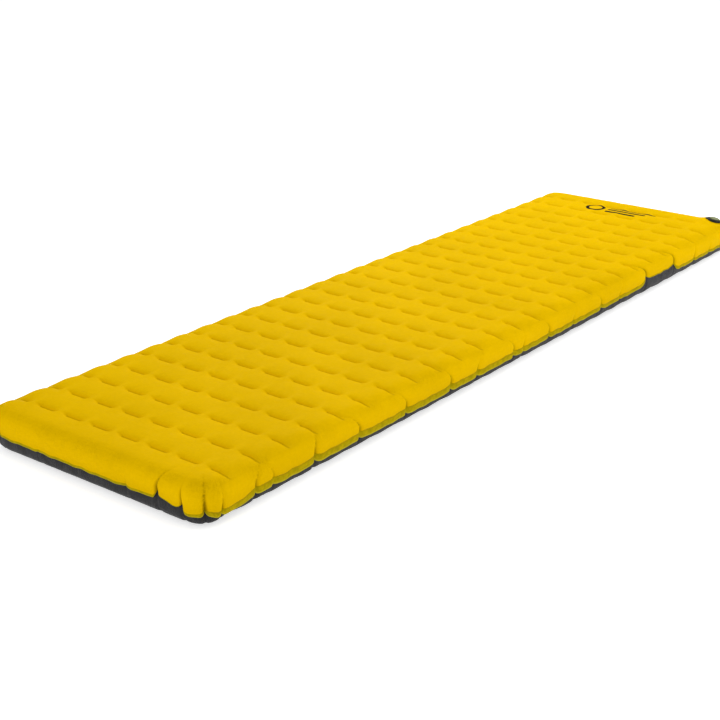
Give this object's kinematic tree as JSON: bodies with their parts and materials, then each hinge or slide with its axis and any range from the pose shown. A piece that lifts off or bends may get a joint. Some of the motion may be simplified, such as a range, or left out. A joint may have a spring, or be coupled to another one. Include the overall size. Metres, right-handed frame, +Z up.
{
  "type": "inflatable sleeping pad",
  "caption": "Long flat air pad with a dimpled yellow top lapped over a charcoal base, die-cut inner webs, and a flat corner valve with a hinged plug, a hinged cap and a bleed button.",
  "frame": {"origin": "on the ground, under the middle of the pad", "axes": "+Y along the pad to its head end, +X across it to the side that holds the valve, +Z up"},
  "size_m": [0.51, 1.83, 0.0856],
  "materials": {
    "top_fabric": "coated ripstop, satin",
    "bottom_fabric": "coated ripstop, matte",
    "web_fabric": "coated, matte",
    "valve_plastic": "fine texture",
    "valve_rubber": "matte",
    "valve_cap": "satin"
  },
  "bodies": {
    "pad": {"top_shell": "top_fabric", "bottom_shell": "bottom_fabric", "web_01": "web_fabric", "web_02": "web_fabric", "web_03": "web_fabric", "web_04": "web_fabric", "web_05": "web_fabric", "web_06": "web_fabric", "web_07": "web_fabric", "web_08": "web_fabric", "web_09": "web_fabric", "web_10": "web_fabric", "web_11": "web_fabric", "web_12": "web_fabric", "web_13": "web_fabric", "web_14": "web_fabric", "web_15": "web_fabric", "web_16": "web_fabric", "web_17": "web_fabric", "web_18": "web_fabric", "web_19": "web_fabric", "web_20": "web_fabric", "web_21": "web_fabric", "web_22": "web_fabric", "web_23": "web_fabric", "web_24": "web_fabric", "web_25": "web_fabric", "web_26": "web_fabric", "valve_base": "valve_plastic", "backing_patch": "valve_rubber", "plug_strap": "valve_rubber"},
    "plug": {"deflate_plug": "valve_plastic", "plug_seal": "valve_rubber", "cap_strap": "valve_rubber"},
    "cap": {"inflate_cap": "valve_cap", "cap_seal": "valve_rubber"},
    "bleed": {"bleed_button": "valve_plastic", "one_way_flap": "valve_rubber"}
  },
  "joints": [
    {"name": "plug_hinge", "type": "hinge", "parent": "pad", "child": "plug", "pos_m": [0.20205, 0.87818, 0.08179], "axis": [0.0151, -0.9962, 0.0858], "range_deg": [0, 105], "deforming": ["plug_strap"]},
    {"name": "cap_hinge", "type": "hinge", "parent": "plug", "child": "cap", "pos_m": [0.20824, 0.87843, 0.08353], "axis": [0.0151, -0.9962, 0.0858], "range_deg": [0, 100], "deforming": ["cap_strap"]},
    {"name": "bleed_press", "type": "slide", "parent": "plug", "child": "bleed", "axis": [-0.173, -0.0872, -0.9811], "range_m": [0, 0.002], "stiffness_N_per_m": 300, "springref_m": -0.0008}
  ]
}
